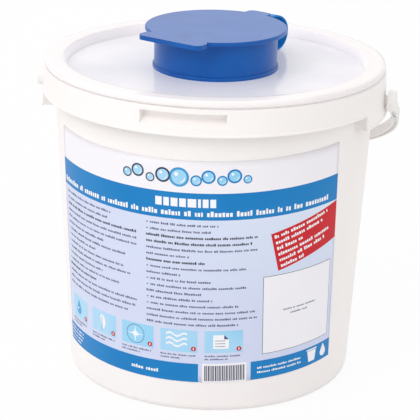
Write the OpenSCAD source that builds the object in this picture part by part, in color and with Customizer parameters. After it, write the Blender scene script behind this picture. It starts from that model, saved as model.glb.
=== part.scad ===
// Countertop wipes dispenser: a tapered six litre bucket with a hanging carry
// handle, a push-on lid, and a flip-top neck that wet wipes are pulled through.
// Millimetres. The origin is the centre of the base, +Z up, front towards -Y.

/* [Bucket] */
// Outer radius of the wall where it would meet the table
base_r = 94.2; // [90:0.1:98]
// Outer radius of the wall at the rim
mouth_r = 105.8; // [103:0.1:107]
// Height of the rim above the table
bucket_h = 210.6; // [190:0.2:230]
// Wall thickness
wall = 1.8; // [1.4:0.1:2.2]
// Thickness of the floor
floor_t = 2.4; // [1.8:0.1:4]
// Height of the foot ring under the floor
foot_h = 2.6; // [1.6:0.1:5]
// Width of the foot ring's flat
foot_w = 5; // [3:0.5:9]
// Radius of the rounded bottom edge
base_round = 5.5; // [4:0.5:9]

/* [Rim and collar band] */
// How far the band's lower edge stands out beyond the rim
band_out = 6.9; // [6.6:0.1:10]
// How much the band leans in towards its top
band_lean = 0.8; // [0:0.1:1]
// Height of the band
band_h = 17.4; // [15:0.2:22]
// Thickness of the band
band_t = 1.8; // [1.4:0.1:2.2]
// Radius of the band's rounded top edge
band_round = 1.0; // [0.5:0.1:1.4]
// How far the lip along the band's lower edge stands out
band_lip = 0.3; // [0.1:0.1:0.5]
// Height of that lip
lip_h = 1.1; // [0.6:0.1:2]
// Width of the rim bead that the lid snaps over
rim_bead_w = 2.7; // [1.8:0.1:3]
// Bevel of the rim bead's edges
bead_bevel = 0.6; // [0.2:0.1:0.8]
// Drop from the rim to the shelf on top of the band
shelf_drop = 2.8; // [2.2:0.1:4]
// Thickness of the shelf
shelf_t = 1.3; // [1:0.1:2]
// Number of webs between the wall and the band
web_count = 36; // [12:12:60]
// Thickness of a web
web_t = 1.3; // [0.8:0.1:2]
// How far the webs stay above the band's lower edge
web_lift = 4; // [2:0.5:8]

/* [Finger scoop] */
// Direction of the scoop under the lid's front edge, from the front
scoop_turn = 1.5; // [-15:0.5:15]
// Angle that the scoop takes up
scoop_span = 28; // [20:1:40]
// How far the scoop starts below the shelf
scoop_drop = 1.9; // [0.4:0.1:3]
// Height of the scoop
scoop_h = 9; // [7:0.5:11]
// Height of the scoop's straight back
scoop_back_h = 4.2; // [3:0.2:6]
// Depth of the scoop into the band
scoop_depth = 5.6; // [4.5:0.1:6]

/* [Handle lugs] */
// Angle that each lug takes up
lug_span = 39; // [30:1:60]
// How far the lugs reach below the band
lug_drop = 9.5; // [7:0.5:14]
// Thickness of a lug's side walls
lug_side_t = 1.8; // [1.2:0.1:2.4]
// Drop from the rim to the pivot's axis
pivot_drop = 19.2; // [17.6:0.2:20.6]
// Radius of the boss around a pivot hole
pivot_boss_r = 6.6; // [5.5:0.1:8]
// Depth of the boss behind the band
pivot_boss_d = 3; // [2:0.2:3.4]

/* [Carry handle] */
// Radius of a pivot pin
pin_r = 3.4; // [2.4:0.1:4.2]
// Radial clearance of a pin in its hole
pin_fit = 0.06; // [0.02:0.01:0.1]
// Radius of a pin's snap head
pin_head_r = 4.6; // [4.3:0.1:5]
// Thickness of a pin's snap head
pin_head_t = 1.2; // [0.8:0.1:1.6]
// Radius of a handle eye
eye_r = 7; // [5.5:0.1:9]
// Thickness of each eye, a little more than the strap [mm]
eye_t = 5; // [4:0.1:7]
// Gap between the band and a handle eye
eye_gap = 2; // [1:0.1:4]
// Thickness of the strap, across the bow
strap_t = 4.6; // [3.6:0.1:6]
// Width of the strap
strap_w = 7; // [5:0.2:10]
// Thickness of the strap's two flanges
flange_t = 1.2; // [0.8:0.1:1.6]
// Depth of the channel along each side of the strap
channel_d = 1.5; // [0.6:0.1:2.2]
// Length of the solid ribs that cross the strap's channels
rib_l = 2; // [1.2:0.1:4]
// Step of those ribs beyond the strap's own faces
rib_step = 0.2; // [0.15:0.05:0.5]
// Straight length of each leg
leg_l = 28; // [12:1:45]
// Bend radius at the handle's shoulders
shoulder_r = 85; // [60:1:100]
// Angle that each shoulder turns through
shoulder_turn = 45; // [35:1:55]
// Width of the grip in the middle
grip_w = 12; // [10:0.5:18]
// Angle that the grip takes up on the bow
grip_span = 42; // [20:1:60]
// How far the grip stands out from the strap's faces
grip_pad = 0.5; // [0.2:0.1:1.5]
// Gap to the bucket's wall where the hanging handle rests
rest_gap = 0.8; // [0.7:0.1:2]

/* [Lid] */
// How far the lid's edge stays inside the band's lower edge
lid_in = 1.3; // [0.9:0.1:2.1]
// Thickness of the lid
lid_t = 1.4; // [1:0.1:1.8]
// Width of the flat rim around the panel
rim_w = 12.4; // [11:0.2:14]
// Depth of the panel below the rim
panel_depth = 6.4; // [5:0.2:8]
// How far the wall around the panel slopes in
recess_slope = 1.6; // [0.6:0.2:3]
// Radius of the lid's rounded outer edge
lid_round = 2; // [1:0.1:2.4]
// Depth of the skirt that plugs the bucket's mouth
plug_depth = 9.6; // [8:0.2:12]
// Gap between lid and bucket at the rim
lid_gap = 0.4; // [0.3:0.05:0.6]
// Height of the hook along the lid's lower edge
hook_h = 1; // [0.6:0.1:1.4]
// How far the hook reaches in
hook_w = 0.9; // [0.4:0.05:1]

/* [Dispenser neck] */
// Outer radius of the neck
neck_r = 40.3; // [38:0.1:43]
// Height of the neck above the panel
neck_h = 23.6; // [20:0.2:30]
// Thickness of the neck's walls
neck_t = 1.8; // [1.4:0.1:2.2]
// Radius of the neck's and foot ring's rounded edges
neck_round = 0.8; // [0.3:0.1:1]
// How far the foot ring stands out from the neck
foot_ring_w = 1; // [0.6:0.1:2]
// Height of the foot ring
foot_ring_h = 2.4; // [1.8:0.1:4]
// Radius of the bowl at its mouth
bowl_r = 31; // [28:0.2:33]
// Radius of the bowl at its floor
bowl_floor_r = 27; // [24:0.2:28]
// Depth of the bowl
bowl_depth = 15.8; // [12:0.2:18]
// Radius of the spigot that snaps into the lid
spigot_r = 36.2; // [34:0.1:37]
// Length of the spigot below the panel's top
spigot_l = 5; // [4:0.1:7]
// Gap around the spigot and under the panel
snap_gap = 0.3; // [0.2:0.05:0.5]

/* [Star nozzle] */
// Radius of the nozzle's flange
star_flange_r = 19.2; // [18.8:0.1:21]
// Radius of the hole in the bowl's floor
star_seat_r = 18; // [16:0.1:18.4]
// Thickness of the nozzle
star_t = 1.4; // [1:0.1:2]
// Radius of the hole in the middle
star_hole_r = 6; // [5:0.1:8]
// Number of slits
star_slits = 8; // [4:1:12]
// Width of a slit
slit_w = 0.8; // [0.5:0.1:1.2]
// Length of a slit from the hole's edge
slit_l = 7.5; // [4:0.5:9]

/* [Flip cap] */
// Direction of the thumb tab, from the front
closure_turn = -24; // [-60:1:60]
// Radius of the cap
cap_r = 46.5; // [44:0.1:50]
// Thickness of the cap
cap_t = 3; // [2.4:0.1:3.6]
// Radius of the cap's rounded edges
cap_round = 1; // [0.4:0.1:1.2]
// Gap between the cap and the neck
cap_gap = 0.3; // [0.2:0.05:0.5]
// Distance from the axis to the thumb tab's straight edge
tab_reach = 53; // [50:0.5:56]
// Width of the thumb tab
tab_w = 49; // [36:1:54]
// Radius of the thumb tab's corners
tab_round = 4.5; // [2:0.5:5]
// Height of the sealing ring under the cap
seal_h = 4.5; // [3:0.1:5.5]
// Thickness of the sealing ring
seal_t = 1.4; // [1:0.1:2]
// Gap between the sealing ring and the bowl
seal_gap = 0.4; // [0.3:0.05:0.6]
// Distance from the axis to the end of the land that carries the strap
land_reach = 52.4; // [51.5:0.1:54]
// Radius of the land's corners
land_round = 3.5; // [2:0.1:5]

/* [Hinge strap] */
// Width of the flexible strap
loop_w = 17.4; // [14:0.2:22]
// Thickness of the flexible strap
loop_t = 1.2; // [0.8:0.1:1.8]
// How far the strap runs below the cap's top
loop_drop = 1.7; // [0.6:0.1:1.7]
// Distance from the axis to the outermost point of the strap's loop
loop_reach = 72.1; // [68:0.2:80]
// Outer radius of the loop's upper bend
loop_top_r = 13; // [10:0.2:18]
// Gap between the strap and the panel it lies on
loop_gap = 0.1; // [0.05:0.05:0.3]

/* [Wipes] */
// Room between the roll and the wall at its foot
roll_room = 6.4; // [4.4:0.1:20]
// Height of the roll
roll_h = 150; // [100:1:160]
// Radius of the hole in the middle of the roll
core_r = 21; // [16:0.5:30]
// Radius of the roll's soft edges
roll_round = 4; // [2:0.5:6]
// Gap under the roll
soft_gap = 0.3; // [0.3:0.1:1]
// Gap between the threaded wipe and the nozzle
tail_gap = 0.3; // [0.2:0.1:0.6]
// Height of the gathered wipe's lower end above the floor
tail_lift = 12; // [4:1:40]
// Radius of the gathered wipe inside the roll
tail_r = 11; // [8:0.5:14]
// Radius of the wipe's tuft above the nozzle
tuft_r = 9.5; // [7:0.5:12]
// Height of the tuft above the nozzle
tuft_h = 8; // [5:0.5:9]

/* [Label] */
// Length of the label around the bucket
label_l = 213; // [150:1:230]
// Height of the label
label_h = 151; // [100:1:155]
// Height of the label's lower edge above the table
label_z = 21.5; // [14:0.5:26]
// Thickness of the label
label_t = 0.25; // [0.1:0.05:0.4]
// Gap between the label and the wall
label_gap = 0.1; // [0.05:0.05:0.2]
// Direction of the label's middle, from the front
label_turn = 2.5; // [-10:0.5:10]

/* [Hidden] */
$fn = 96;
eps = 0.01;
// pieces that are fused reach this far into each other
weld = 0.4;

// the bucket's wall is a cone: its outer radius at a height
taper = (mouth_r - base_r) / bucket_h;
lean = atan(taper);
function turn_of(arc, r) = arc / r * 180 / PI;
function body_r(z) = base_r + taper * z;
floor_z = foot_h + floor_t;
inner_round = base_round - wall;
roll_r = base_r - wall - roll_room;
// centre of the rounded edge at the bottom, for a wall that stands off the outer one
function edge_x(round, z, off) = body_r(z) - off - round / cos(lean);
shelf_z = bucket_h - shelf_drop;
band_z = shelf_z - band_h;
band_r = mouth_r + band_out;
band_top_r = band_r - band_lean;
lug_z = band_z - lug_drop;
pivot_h = bucket_h - pivot_drop;
lid_r = band_r - lid_in;

// the bow of the handle: straight leg, shoulder, then one large arc
ear_x = band_r + eye_gap + eye_t / 2;
rib_in = rib_l / 4;
bow_r = shoulder_r + (ear_x - shoulder_r) / cos(shoulder_turn);
bow_l = leg_l - (ear_x - shoulder_r) * tan(shoulder_turn);
handle_l = bow_l + bow_r;
// the angle from hanging straight down at which the grip's lower inner edge meets the wall
rest_a = handle_l - strap_t / 2 - grip_pad;
rest_p = rest_a + taper * grip_w / 2;
rest_q = taper * rest_a - grip_w / 2;
rest_c = base_r + taper * pivot_h + rest_gap;
rest_turn = asin(rest_c / norm([rest_p, rest_q])) - atan2(rest_q, rest_p);
pin_end_x = band_r - band_t - pivot_boss_d - snap_gap - pin_head_t;

// heights in the lid and the neck
lid_z = bucket_h + lid_gap + lid_t;
panel_z = lid_z - panel_depth;
rim_in_r = lid_r - rim_w;
panel_r = rim_in_r - recess_slope;
plug_z = lid_z - plug_depth;
plug_r = body_r(plug_z) - wall - lid_gap;
lid_hole_r = spigot_r + snap_gap;
neck_z = panel_z + neck_h;
bowl_z = neck_z - bowl_depth;
cap_z = neck_z + cap_gap;
cap_top_z = cap_z + cap_t;
foot_ring_r = neck_r + foot_ring_w;
seal_r = bowl_r - seal_gap - (bowl_r - bowl_floor_r) * seal_h / bowl_depth;

// the flexible strap in its own plane, u outwards from the axis and v up: two bends of
// one loop, the upper level with the cap's top and the lower with the panel
loop_low_z = panel_z + loop_gap;
loop_top_z = cap_top_z - loop_drop;
loop_low_r = loop_top_z - loop_low_z - loop_top_r;
loop_mid_z = loop_low_z + loop_low_r;

// a ring of material given by a 2D profile, over part of a turn centred on a direction
module swept(span, middle) {
    rotate([0, 0, middle - span / 2])
        rotate_extrude(angle = span)
            children();
}

// ---------------------------------------------------------------- bucket

// the solid of revolution inside a wall that stands off the outer one
module cone_profile(off, z, round, top) {
    c = [edge_x(round, z + round, off), z + round];
    polygon([[0, z], [c[0], z], c + round * [cos(lean), -sin(lean)],
             [body_r(top) - off, top], [0, top]]);
    translate(c) circle(r = round);
}

// the band and its shelf, as deep as the lugs reach
module band_profile() {
    out_r = band_r + band_lean * lug_drop / band_h;
    difference() {
        union() {
            polygon([[body_r(shelf_z) - wall / 2, shelf_z], [band_top_r - band_round, shelf_z],
                     [band_top_r, shelf_z - band_round], [out_r, lug_z],
                     [body_r(shelf_z) - wall / 2, lug_z]]);
            translate([band_top_r - band_round, shelf_z - band_round]) circle(r = band_round);
        }
        polygon([[0, lug_z - 1], [out_r - band_t, lug_z - 1],
                 [band_top_r - band_t, shelf_z - shelf_t], [0, shelf_z - shelf_t]]);
    }
}

// a lip along a lower edge of the band
module lip_profile(low) {
    edge_r = band_r + band_lean * (band_z - low) / band_h;
    polygon([[edge_r - band_t / 2, low - band_lip], [edge_r, low - band_lip],
             [edge_r + band_lip, low], [edge_r + band_lip, low + lip_h],
             [edge_r - band_t / 2, low + lip_h + band_t / 2]]);
}

module band() {
    gap_span = 180 - lug_span;
    difference() {
        rotate_extrude() band_profile();
        for (side = [90, -90])
            swept(gap_span, side) translate([body_r(lug_z) - wall, lug_z - 1])
                square([band_r, lug_drop + 1]);
    }
    for (side = [90, -90]) swept(gap_span - 0.2, side) lip_profile(band_z);
    for (side = [0, 180]) swept(lug_span - 0.2, side) lip_profile(lug_z);
}

module scoop_profile(grow) {
    back_r = band_top_r - scoop_depth - grow;
    top = shelf_z - shelf_t - scoop_drop;
    roof = grow > 0 ? shelf_z - shelf_t / 2 : top;
    polygon([[back_r, roof], [band_r + 2, roof], [band_r + 2, top - scoop_h - grow],
             [band_r - grow, top - scoop_h - grow], [back_r, top - scoop_back_h - grow]]);
}

module webs() {
    in_r = body_r(band_z) - wall / 2;
    for (i = [0 : web_count - 1])
        rotate([0, 0, (i + 0.5) * 360 / web_count])
            translate([in_r, -web_t / 2, band_z + web_lift])
                cube([band_top_r - band_t / 2 - in_r, web_t, shelf_z - shelf_t / 2 - band_z - web_lift]);
}

// side walls and pivot boss of a lug
module lug() {
    in_r = body_r(lug_z) - wall / 2;
    for (side = [-1, 1])
        rotate([0, 0, side * (lug_span / 2)])
            translate([in_r, -lug_side_t / 2 - side * lug_side_t / 2, lug_z])
                cube([band_top_r - band_t / 2 - in_r, lug_side_t, shelf_z - shelf_t / 2 - lug_z]);
    translate([band_r - band_t - pivot_boss_d, 0, pivot_h])
        rotate([0, 90, 0]) cylinder(r = pivot_boss_r, h = pivot_boss_d + band_t / 2);
}

module rim_bead_profile() {
    in_r = mouth_r - wall / 2;
    out_r = mouth_r + rim_bead_w;
    polygon([[in_r, shelf_z - shelf_t / 2], [out_r - bead_bevel, shelf_z - shelf_t / 2],
             [out_r, shelf_z + bead_bevel], [out_r, bucket_h - bead_bevel],
             [out_r - bead_bevel, bucket_h], [in_r, bucket_h]]);
}

// walls that close the band behind the scoop
module scoop_box() {
    swept(scoop_span + 4, scoop_turn - 90) intersection() {
        scoop_profile(band_t);
        translate([0, band_z + lip_h]) square([band_r - band_t / 2, band_h]);
    }
}

module bucket() {
    color("#f3f1ec")
    difference() {
        union() {
            difference() {
                union() {
                    rotate_extrude() cone_profile(0, 0, base_round, bucket_h);
                    rotate_extrude() rim_bead_profile();
                    band();
                    webs();
                    for (side = [0, 180]) rotate([0, 0, side]) lug();
                    scoop_box();
                }
                rotate_extrude() cone_profile(wall, floor_z, inner_round, bucket_h + 1);
                translate([0, 0, -1]) cylinder(r = base_r - base_round - foot_w, h = foot_h + 1);
            }
        }
        swept(scoop_span, scoop_turn - 90) scoop_profile(0);
        for (side = [0, 180]) rotate([0, 0, side])
            translate([band_r - band_t - pivot_boss_d - 1, 0, pivot_h])
                rotate([0, 90, 0]) cylinder(r = pin_r + pin_fit, h = pivot_boss_d + band_t + 4);
    }
}

// ---------------------------------------------------------------- handle

// the strap's section: width along Y, thickness along X, a channel down each side
module strap_section(w, channel) {
    difference() {
        square([strap_t, w], center = true);
        for (side = [-1, 1])
            translate([0, side * w / 2])
                square([strap_t - 2 * flange_t, 2 * channel], center = true);
    }
}

// the handle lies in the XY plane, with its bow towards -Y
module handle_flat() {
    bow_span = 2 * (90 - shoulder_turn);
    translate([0, -bow_l, 0]) swept(bow_span - 2 * turn_of(rib_in, bow_r), -90)
        translate([bow_r, 0]) strap_section(strap_w, channel_d);
    for (side = [0, 1]) mirror([side, 0, 0]) {
        translate([ear_x, 0, 0]) rotate([90, 0, 0])
            linear_extrude(leg_l - rib_in) strap_section(strap_w, channel_d);
        translate([ear_x, -leg_l, 0]) strap_rib();
        translate([ear_x - shoulder_r, -leg_l, 0]) {
            swept(shoulder_turn - 2 * turn_of(rib_in, shoulder_r), -shoulder_turn / 2)
                translate([shoulder_r, 0]) strap_section(strap_w, channel_d);
            rotate([0, 0, -shoulder_turn]) translate([shoulder_r, 0, 0]) strap_rib();
        }
        eye();
    }
    grip();
}

// a solid rib across the strap, where one stretch of it passes into the next
module strap_rib() {
    cube([strap_t + 2 * rib_step, rib_l, strap_w + 2 * rib_step], center = true);
}

module eye() {
    translate([ear_x - eye_t / 2, 0, 0]) rotate([0, 90, 0]) cylinder(r = eye_r, h = eye_t);
    translate([pin_end_x + pin_head_t / 2, 0, 0]) rotate([0, 90, 0])
        cylinder(r = pin_r, h = ear_x - pin_end_x - pin_head_t / 2);
    translate([pin_end_x, 0, 0]) rotate([0, 90, 0])
        cylinder(r = pin_head_r, h = pin_head_t);
}

// a thicker, wider stretch with round ends in the middle of the bow
module grip() {
    chord = 2 * bow_r * sin(grip_span / 2);
    grip_t = strap_t + 2 * grip_pad;
    intersection() {
        translate([0, -bow_l, 0]) swept(grip_span + 8, -90)
            translate([bow_r, 0]) square([grip_t, grip_w], center = true);
        translate([0, -handle_l / 2, 0]) rotate([90, 0, 0]) linear_extrude(handle_l) {
            square([chord - grip_w, grip_w], center = true);
            for (side = [-1, 1]) translate([side * (chord - grip_w) / 2, 0]) circle(r = grip_w / 2);
        }
    }
}

module carry_handle() {
    color("#e4e3de")
    translate([0, 0, pivot_h]) rotate([90 + rest_turn, 0, 0]) handle_flat();
}

// ---------------------------------------------------------------- lid

// panel, the sloping wall around it and the flat rim
module panel_profile() {
    polygon([[lid_hole_r, panel_z], [panel_r, panel_z], [rim_in_r, lid_z],
             [lid_r - lid_round, lid_z], [lid_r - lid_round, lid_z - lid_t],
             [rim_in_r + lid_t, lid_z - lid_t], [panel_r + lid_t, panel_z - lid_t],
             [lid_hole_r, panel_z - lid_t]]);
}

// rounded edge, outer wall and the hook that snaps under the bucket's rim bead
module edge_profile() {
    hook_z = shelf_z + lid_gap;
    in_x = lid_r - lid_t;
    difference() {
        union() {
            translate([lid_r - lid_round, lid_z - lid_round]) circle(r = lid_round);
            translate([in_x - hook_w, hook_z])
                square([lid_t + hook_w, lid_z - lid_round - hook_z]);
        }
        translate([in_x - 3, hook_z + hook_h])
            square([3, lid_z - lid_t - hook_z - hook_h]);
        translate([in_x - hook_w - 3, hook_z - 1])
            square([3, hook_h + 1.2]);
    }
}

// skirt that plugs the bucket's mouth
module plug_profile() {
    translate([plug_r - lid_t, plug_z]) square([lid_t, plug_depth - lid_t / 2]);
    translate([plug_r - lid_t / 2, plug_z]) circle(r = lid_t / 2);
}

module lid() {
    color("#e7e9ee", 0.8) {
        rotate_extrude() panel_profile();
        rotate_extrude() edge_profile();
        rotate_extrude() plug_profile();
    }
}

// ---------------------------------------------------------------- neck and nozzle

// wall, top, bowl and the bowl's floor, short of the rounded outer edge
module neck_profile() {
    in_r = neck_r - neck_t;
    top = neck_z - neck_t;
    polygon([[neck_r, panel_z], [neck_r, neck_z - neck_round], [neck_r - neck_round, neck_z - neck_round],
             [neck_r - neck_round, neck_z], [bowl_r, neck_z], [bowl_floor_r, bowl_z],
             [star_seat_r, bowl_z], [star_seat_r, bowl_z - neck_t],
             [bowl_floor_r + neck_t, bowl_z - neck_t], [bowl_r + neck_t, top], [in_r, top],
             [in_r, panel_z]]);
}

// foot ring, and the spigot with its snap bead under the panel
module spigot_profile() {
    bead_z = panel_z - lid_t - snap_gap;
    in_r = spigot_r - neck_t;
    polygon([[in_r, panel_z + foot_ring_h], [foot_ring_r - neck_round, panel_z + foot_ring_h],
             [foot_ring_r - neck_round, panel_z + foot_ring_h - neck_round],
             [foot_ring_r, panel_z + foot_ring_h - neck_round], [foot_ring_r, panel_z],
             [spigot_r, panel_z], [spigot_r, bead_z], [spigot_r + 2 * snap_gap, bead_z],
             [spigot_r, panel_z - spigot_l], [in_r, panel_z - spigot_l]]);
}

module dispenser_neck() {
    color("#2a5aa8") {
        rotate_extrude() neck_profile();
        rotate_extrude() spigot_profile();
        rotate_extrude() translate([neck_r - neck_round, neck_z - neck_round])
            circle(r = neck_round);
        rotate_extrude() translate([foot_ring_r - neck_round, panel_z + foot_ring_h - neck_round])
            circle(r = neck_round);
    }
}

module star_nozzle() {
    plug = star_seat_r - snap_gap;
    color("#7fa6d8")
    difference() {
        union() {
            translate([0, 0, bowl_z]) cylinder(r = star_flange_r, h = star_t);
            translate([0, 0, bowl_z - neck_t]) cylinder(r = plug, h = neck_t + eps);
        }
        translate([0, 0, bowl_z - neck_t - 1]) cylinder(r = plug - star_t, h = neck_t + 1);
        translate([0, 0, bowl_z - 1]) cylinder(r = star_hole_r, h = star_t + 2);
        for (i = [0 : star_slits - 1])
            rotate([0, 0, i * 360 / star_slits])
                translate([0, -slit_w / 2, bowl_z - 1]) cube([star_hole_r + slit_l, slit_w, star_t + 2]);
    }
}

// ---------------------------------------------------------------- cap and strap

// a bar with straight outer edge and round corners, from the axis to its reach along -Y
module tongue(reach, w, round) {
    translate([-w / 2, -reach + round]) square([w, round]);
    translate([-w / 2 + round, -reach]) square([w - 2 * round, 2 * round]);
    for (side = [-1, 1])
        translate([side * (w / 2 - round), -reach + round]) circle(r = round);
    // blends back to the cap's edge
    polygon([[-w / 2 + eps, -reach + 2 * round - eps], [w / 2 - eps, -reach + 2 * round - eps],
             [w / 2 - 2 * round, -cap_r + 3 * round], [-w / 2 + 2 * round, -cap_r + 3 * round]]);
}

module flip_cap() {
    color("#3f6fc0")
    rotate([0, 0, closure_turn]) {
        translate([0, 0, cap_z]) rotate_extrude() {
            square([cap_r - cap_round, cap_t]);
            translate([0, cap_round]) square([cap_r, cap_t - 2 * cap_round]);
            for (z = [cap_round, cap_t - cap_round])
                translate([cap_r - cap_round, z]) circle(r = cap_round);
        }
        translate([0, 0, cap_z]) linear_extrude(cap_t) tongue(tab_reach, tab_w, tab_round);
        translate([0, 0, cap_z]) linear_extrude(cap_t)
            land(land_round);
        translate([0, 0, cap_z - seal_h]) difference() {
            cylinder(r = seal_r, h = seal_h + weld);
            translate([0, 0, -1]) cylinder(r = seal_r - seal_t, h = seal_h + 1);
        }
    }
}

// the land that carries the strap, from the axis to its reach along +Y
module land(round) {
    side = loop_w / 2 - land_round;
    translate([-loop_w / 2, 0]) square([loop_w, land_reach - land_round]);
    translate([-side, 0]) square([2 * side, land_reach]);
    for (x = [-side, side])
        translate([x, land_reach - land_round]) circle(r = round);
}

// a quarter of a bent strip, turned into place
module bend(r, turn) {
    translate([loop_reach - r, loop_mid_z]) rotate(turn) difference() {
        intersection() {
            circle(r = r);
            square(r + 1);
        }
        circle(r = r - loop_t);
    }
}

module hinge_strap() {
    color("#1560aa")
    rotate([0, 0, closure_turn]) rotate([90, 0, 90]) translate([0, 0, -loop_w / 2]) {
        linear_extrude(loop_w) bend(loop_top_r, 0);
        linear_extrude(loop_w) bend(loop_low_r, -90);
        linear_extrude(loop_w) translate([land_reach, loop_top_z - loop_t])
            square([loop_reach - loop_top_r - land_reach + eps, loop_t]);
        linear_extrude(loop_w) translate([foot_ring_r + loop_gap, loop_low_z])
            square([loop_reach - loop_low_r - foot_ring_r - loop_gap + eps, loop_t]);
    }
}

// ---------------------------------------------------------------- wipes

module wipes_roll() {
    low = floor_z + soft_gap;
    color("#f7f7f5")
    translate([0, 0, low]) rotate_extrude() {
        translate([core_r, roll_round]) square([roll_r - core_r, roll_h - 2 * roll_round]);
        translate([core_r + roll_round, 0]) square([roll_r - core_r - 2 * roll_round, roll_h]);
        for (r = [core_r + roll_round, roll_r - roll_round], z = [roll_round, roll_h - roll_round])
            translate([r, z]) circle(r = roll_round);
    }
}

// the first wipe, gathered from the middle of the roll up through the nozzle
module wipe_tail() {
    thin = star_hole_r - tail_gap;
    start = floor_z + tail_lift;
    top = bowl_z + star_t;
    color("#fafaf8")
    rotate_extrude()
        polygon([[0, start], [tail_r, start], [tail_r, floor_z + roll_h],
                 [thin, bowl_z - neck_t - tail_gap], [thin, top + tail_gap],
                 [tuft_r, top + tuft_h * 0.7], [tuft_r * 0.75, top + tuft_h], [0, top + tuft_h]]);
}

// ---------------------------------------------------------------- label

// an in-mould film cut as a ring sector, so that its edges run level round the cone
module front_label() {
    low_r = body_r(label_z) + label_gap;
    top_r = body_r(label_z + label_h) + label_gap;
    span = label_l / body_r(label_z + label_h / 2) * 180 / PI;
    color("#dfe3f2")
    swept(span, label_turn - 90)
        polygon([[low_r, label_z], [low_r + label_t, label_z],
                 [top_r + label_t, label_z + label_h], [top_r, label_z + label_h]]);
}

bucket();
carry_handle();
lid();
dispenser_neck();
star_nozzle();
flip_cap();
hinge_strap();
wipes_roll();
wipe_tail();
front_label();
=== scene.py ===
"""Looks of a countertop wipes dispenser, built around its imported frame.

Everything is in metres in the frame's own axes: the base's centre is the origin, +Z is up and
the front faces -Y. Angles round the pail are counted from the front towards +X.
"""

import math
import random

import bmesh
import bpy
import numpy as np
from bpy.props import FloatProperty, FloatVectorProperty, IntProperty, PointerProperty
from mathutils import Matrix, Vector


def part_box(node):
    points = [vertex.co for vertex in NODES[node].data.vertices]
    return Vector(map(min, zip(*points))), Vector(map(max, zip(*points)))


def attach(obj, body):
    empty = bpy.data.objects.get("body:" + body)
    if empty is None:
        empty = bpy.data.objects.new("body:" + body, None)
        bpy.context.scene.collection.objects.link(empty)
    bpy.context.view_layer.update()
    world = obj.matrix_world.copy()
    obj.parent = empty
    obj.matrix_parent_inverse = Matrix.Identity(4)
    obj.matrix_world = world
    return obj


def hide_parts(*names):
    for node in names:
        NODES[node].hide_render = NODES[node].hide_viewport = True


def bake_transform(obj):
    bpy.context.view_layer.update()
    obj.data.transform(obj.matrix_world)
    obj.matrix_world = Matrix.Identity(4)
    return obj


bl_info = {
    "name": "Wipes Pail Looks",
    "version": (1, 0, 0),
    "blender": (4, 5, 0),
    "location": "3D View > Sidebar > Wipes Pail",
    "description": "Plastics, label, wipes and studio of a wet wipe dispenser pail",
    "category": "Object",
}

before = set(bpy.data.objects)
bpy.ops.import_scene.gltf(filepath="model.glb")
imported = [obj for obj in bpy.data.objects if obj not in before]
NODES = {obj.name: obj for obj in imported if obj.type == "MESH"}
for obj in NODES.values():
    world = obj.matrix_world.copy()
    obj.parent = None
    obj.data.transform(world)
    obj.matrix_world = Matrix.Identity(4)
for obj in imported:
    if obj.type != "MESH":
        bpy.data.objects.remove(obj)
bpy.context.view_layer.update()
MM = 0.001

# Where the materials line up with the CAD solids, in metres
RIM_GLOW_Z = (0.2074, 0.2082)  # height over which the painted glow on the pail's rim sets in
UNDER_LID_R = 0.1112  # the lid covers the pail within this radius, and the rim's painted glow stays inside it
PANEL_SHADE_FADE_R = (0.0955, 0.1)  # from the lid's thin panel, with its painted grey shade, to its full white rim
PANEL_GLOW_R = 0.0995  # the thin panel has a painted glow within this radius, for light coming up through the lid
FIELD_Z = (0.06, 0.135)  # the label's field grows lighter over this height
FIELD_X = (-0.06, 0.09)  # and across this width
TOP_FIELD_Z = 0.1425  # hidden behind the header, where the paper tone begins

# The strap in its own plane: distances from the pail's axis and heights, in metres
STRAP_TURN = math.radians(156)
STRAP_THICK, STRAP_HALF, STRAP_ROUND = 1.2 * MM, 8.7 * MM, 0.45 * MM
STRAP_START, STRAP_UPPER_U, STRAP_LOWER_U, STRAP_END = 0.0505, 0.0542, 0.0600, 0.0414
STRAP_TOP_Z, STRAP_MID_Z, STRAP_LOW_Z = 0.2312, 0.2182, 0.2061
STRAP_WIDE, STRAP_TALL, STRAP_LOWER_R = 0.0179, 0.0130, 0.0121
STRAP_BLEND_U, STRAP_BLEND_Z = 0.066, (0.2076, 0.2299)

INK_GRAIN, INK_ROUGH, INK_SPECULAR = 0.000004, 0.34, 0.22
CLOTH_GRAIN, CLOTH_ROUGH, CLOTH_SHEEN = 0.00008, 0.62, 0.25
CORE_R = 0.021  # radius of the hole in the roll

# Greeked type: width of a letter, gap between letters and between words, in mm
TINY, FINE, BODY = (0.7, 0.3, 0.8), (0.8, 0.3, 0.9), (0.85, 0.34, 0.9)
STRONG, TITLE, HEADER = (1.25, 0.4, 1.3), (1.3, 0.5, 1.6), (1.5, 0.6, 2.0)
LONGEST_WORD = 9
COLUMN_TOP, COLUMN_PITCH = 129.0, 4.25

CAMERA_PLACE, CAMERA_AIM = (0.2503, -1.2304, 0.53485), (0, 0, 0.09576)
CAMERA_SHIFT = (-0.004, 0.034)
FLOOR_GLOW = 0.93  # share of plain white in the floor as the camera sees it


def screen(r, g, b):
    """A colour read off a screen, 0 to 255, as the linear values that shaders take."""
    return tuple(
        c / 12.92 if c <= 0.04045 else ((c + 0.055) / 1.055) ** 2.4
        for c in (r / 255, g / 255, b / 255)
    )


def colour(name, words, value):
    """A colour that a user can change."""
    return FloatVectorProperty(
        name=name, description=words, subtype="COLOR", size=3, min=0, max=1, default=value
    )


def length(name, words, value, low=0.0, high=1.0):
    """A length in metres that a user can change."""
    return FloatProperty(
        name=name, description=words, unit="LENGTH", subtype="DISTANCE",
        default=value, min=low, max=high, precision=5,
    )


def share(name, words, value):
    """A share from 0 to 1 that a user can change."""
    return FloatProperty(
        name=name, description=words, subtype="FACTOR", default=value, min=0, max=1
    )


def angle(name, words, degrees):
    """An angle that a user can change."""
    return FloatProperty(
        name=name, description=words, subtype="ANGLE", unit="ROTATION",
        default=math.radians(degrees),
    )


def power(name, words, value):
    """A lamp's power that a user can change."""
    return FloatProperty(name=name, description=words, subtype="POWER", default=value, min=0)


# ---------------------------------------------------------------- settings


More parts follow.
